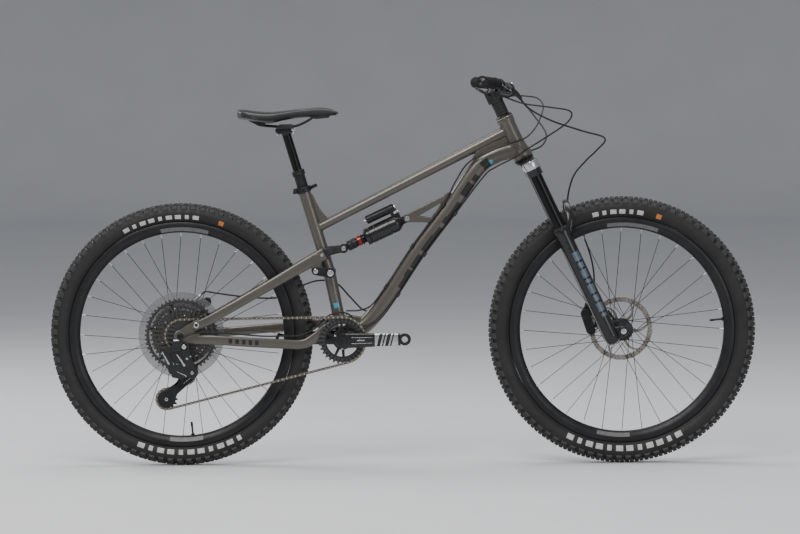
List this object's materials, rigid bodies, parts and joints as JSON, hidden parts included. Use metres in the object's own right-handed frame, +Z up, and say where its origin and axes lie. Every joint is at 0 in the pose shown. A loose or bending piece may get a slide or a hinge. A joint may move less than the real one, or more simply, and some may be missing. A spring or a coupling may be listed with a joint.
{
  "type": "mountain bike",
  "caption": "Full-suspension mountain bike with telescopic fork, linkage-driven rear shock, disc brakes, wide-range cassette and telescopic seatpost.",
  "frame": {"origin": "on the ground below the middle of the whole bike", "axes": "+X forward, +Y to the rider's left, +Z up"},
  "size_m": [1.9857, 0.7888, 1.0913],
  "materials": {
    "frame_paint": "satin metallic taupe grey paint on aluminium",
    "fork_paint": "gloss black paint",
    "black_alloy": "black anodised",
    "black_plastic": "moulded black",
    "tyre_rubber": "black rubber",
    "grip_rubber": "ribbed black rubber",
    "hose_skin": "smooth black hose",
    "spoke_steel": "black steel",
    "rotor_steel": "brushed stainless",
    "sprocket_steel": "dark steel with bright tooth edges",
    "chain_steel": "oiled steel",
    "bright_steel": "bright bolts",
    "saddle_cover": "satin black cover"
  },
  "bodies": {
    "frame": {"head_tube": "frame_paint", "top_tube": "frame_paint", "down_tube": "frame_paint", "seat_tube": "frame_paint", "shock_mount": "frame_paint", "headset_cups": "black_alloy", "bb_bearings": "black_alloy", "seat_clamp": "black_alloy", "seatpost_outer": "black_alloy", "rear_brake_hose": "hose_skin", "gear_cable": "hose_skin", "dropper_cable": "hose_skin", "main_pivot_axle": "bright_steel"},
    "steering": {"fork_upper": "fork_paint", "stem": "black_alloy", "headset_spacers": "black_alloy", "handlebar": "black_alloy", "grips": "grip_rubber", "brake_body_right": "black_alloy", "brake_body_left": "black_alloy", "shifter_body": "black_plastic", "dropper_remote": "black_plastic"},
    "lever_right": {"brake_lever_right": "black_alloy"},
    "lever_left": {"brake_lever_left": "black_alloy"},
    "shift_lever": {"shift_paddle": "black_plastic"},
    "remote_lever": {"dropper_lever": "black_plastic"},
    "fork_lower": {"fork_lowers": "fork_paint", "front_axle": "black_alloy", "front_caliper": "black_alloy", "front_brake_hose": "hose_skin"},
    "front_wheel": {"front_tyre": "tyre_rubber", "front_rim": "black_alloy", "front_spokes": "spoke_steel", "front_hub": "black_alloy", "front_rotor": "rotor_steel"},
    "swingarm": {"chainstays": "frame_paint", "rear_axle": "black_alloy", "rear_caliper": "black_alloy", "derailleur_body": "black_alloy", "chain": "chain_steel"},
    "cage": {"derailleur_cage": "black_alloy"},
    "guide_wheel": {"guide_pulley": "black_plastic"},
    "tension_wheel": {"tension_pulley": "black_plastic"},
    "seatstay": {"seatstays": "frame_paint", "shock_yoke": "black_alloy"},
    "rocker": {"rocker_link": "black_alloy"},
    "damper_body": {"shock_body": "black_alloy"},
    "damper_shaft": {"shock_shaft": "black_alloy"},
    "rear_wheel": {"rear_tyre": "tyre_rubber", "rear_rim": "black_alloy", "rear_spokes": "spoke_steel", "rear_hub": "black_alloy", "rear_rotor": "rotor_steel"},
    "sprockets": {"cassette": "sprocket_steel"},
    "crank": {"crank_right": "black_alloy", "crank_left": "black_alloy", "chainring": "black_alloy"},
    "seat": {"dropper_shaft": "black_alloy", "saddle_rails": "bright_steel", "saddle": "saddle_cover"}
  },
  "joints": [
    {"name": "steer", "type": "hinge", "parent": "frame", "child": "steering", "pos_m": [0.34148, 0, 0.86155], "axis": [-0.4226, 0, 0.9063], "range_deg": [-70, 70], "deforming": ["rear_brake_hose", "gear_cable", "dropper_cable"]},
    {"name": "fork_travel", "type": "slide", "parent": "steering", "child": "fork_lower", "axis": [-0.4226, 0, 0.9063], "range_m": [0, 0.15], "stiffness_N_per_m": 4000, "springref_m": -0.03, "deforming": ["front_brake_hose"]},
    {"name": "front_spin", "type": "hinge", "parent": "fork_lower", "child": "front_wheel", "pos_m": [0.617, 0, 0.376], "axis": [0, 1, 0], "continuous": true},
    {"name": "rear_travel", "type": "hinge", "parent": "frame", "child": "swingarm", "pos_m": [-0.172, 0, 0.404], "axis": [0, 1, 0], "range_deg": [0, 16.5], "stiffness_Nm_per_rad": 1500, "springref_deg": -4.58, "deforming": ["rear_brake_hose", "gear_cable", "chain"]},
    {"name": "stay_pivot", "type": "hinge", "parent": "swingarm", "child": "seatstay", "pos_m": [-0.5776, 0, 0.401], "axis": [0, 1, 0], "range_deg": [-3.6, 0]},
    {"name": "rocker_pivot", "type": "hinge", "parent": "frame", "child": "rocker", "pos_m": [-0.2025, 0, 0.5424], "axis": [0, 1, 0], "range_deg": [0, 81.2]},
    {"name": "shock_swing", "type": "hinge", "parent": "frame", "child": "damper_body", "pos_m": [0.0141, 0, 0.6934], "axis": [0, 1, 0], "range_deg": [-2.6, 0]},
    {"name": "shock_stroke", "type": "slide", "parent": "damper_body", "child": "damper_shaft", "axis": [0.9064, 0, 0.4225], "range_m": [0, 0.0546]},
    {"name": "rear_spin", "type": "hinge", "parent": "swingarm", "child": "rear_wheel", "pos_m": [-0.623, 0, 0.37], "axis": [0, 1, 0], "continuous": true},
    {"name": "crank_spin", "type": "hinge", "parent": "frame", "child": "crank", "pos_m": [-0.17, 0, 0.354], "axis": [0, 1, 0], "continuous": true, "deforming": ["chain"]},
    {"name": "cassette_spin", "type": "hinge", "parent": "swingarm", "child": "sprockets", "pos_m": [-0.623, 0, 0.37], "axis": [0, 1, 0], "continuous": true, "deforming": ["chain"]},
    {"name": "cage_swing", "type": "hinge", "parent": "swingarm", "child": "cage", "pos_m": [-0.59, 0, 0.268], "axis": [0, 1, 0], "range_deg": [-5, 0], "deforming": ["chain"]},
    {"name": "guide_spin", "type": "hinge", "parent": "cage", "child": "guide_wheel", "pos_m": [-0.609, 0, 0.258], "axis": [0, 1, 0], "continuous": true, "deforming": ["chain"]},
    {"name": "tension_spin", "type": "hinge", "parent": "cage", "child": "tension_wheel", "pos_m": [-0.665, 0, 0.191], "axis": [0, 1, 0], "continuous": true, "deforming": ["chain"]},
    {"name": "brake_pull_right", "type": "hinge", "parent": "steering", "child": "lever_right", "pos_m": [0.29322, -0.23973, 1.04415], "axis": [-0.58, 0.1605, -0.7986], "range_deg": [0, 10], "stiffness_Nm_per_rad": 1, "springref_deg": -17.19},
    {"name": "brake_pull_left", "type": "hinge", "parent": "steering", "child": "lever_left", "pos_m": [0.29322, 0.23973, 1.04415], "axis": [0.58, 0.1605, 0.7986], "range_deg": [0, 10], "stiffness_Nm_per_rad": 1, "springref_deg": -17.19},
    {"name": "shift_push", "type": "hinge", "parent": "steering", "child": "shift_lever", "pos_m": [0.24611, -0.20594, 1.03507], "axis": [0.58, -0.1605, 0.7986], "range_deg": [0, 25], "stiffness_Nm_per_rad": 0.3, "springref_deg": -22.92},
    {"name": "remote_push", "type": "hinge", "parent": "steering", "child": "remote_lever", "pos_m": [0.24611, 0.20594, 1.03507], "axis": [-0.58, -0.1605, -0.7986], "range_deg": [0, 20], "stiffness_Nm_per_rad": 0.3, "springref_deg": -22.92},
    {"name": "seat_drop", "type": "slide", "parent": "frame", "child": "seat", "axis": [-0.289, 0, 0.9573], "range_m": [-0.1, 0], "stiffness_N_per_m": 200, "springref_m": 0.6}
  ],
  "couplings": [
    {"joint": "stay_pivot", "follows": "rear_travel", "ratio": -0.21134},
    {"joint": "rocker_pivot", "follows": "rear_travel", "ratio": 4.9089},
    {"joint": "shock_swing", "follows": "rear_travel", "ratio": -0.15467},
    {"joint": "shock_stroke", "follows": "rear_travel", "m_per_rad": 0.1892},
    {"joint": "cage_swing", "follows": "rear_travel", "ratio": -0.3},
    {"joint": "cassette_spin", "follows": "crank_spin", "ratio": 1.4545},
    {"joint": "guide_spin", "follows": "crank_spin", "ratio": -2.6667},
    {"joint": "tension_spin", "follows": "crank_spin", "ratio": 2.2857}
  ]
}
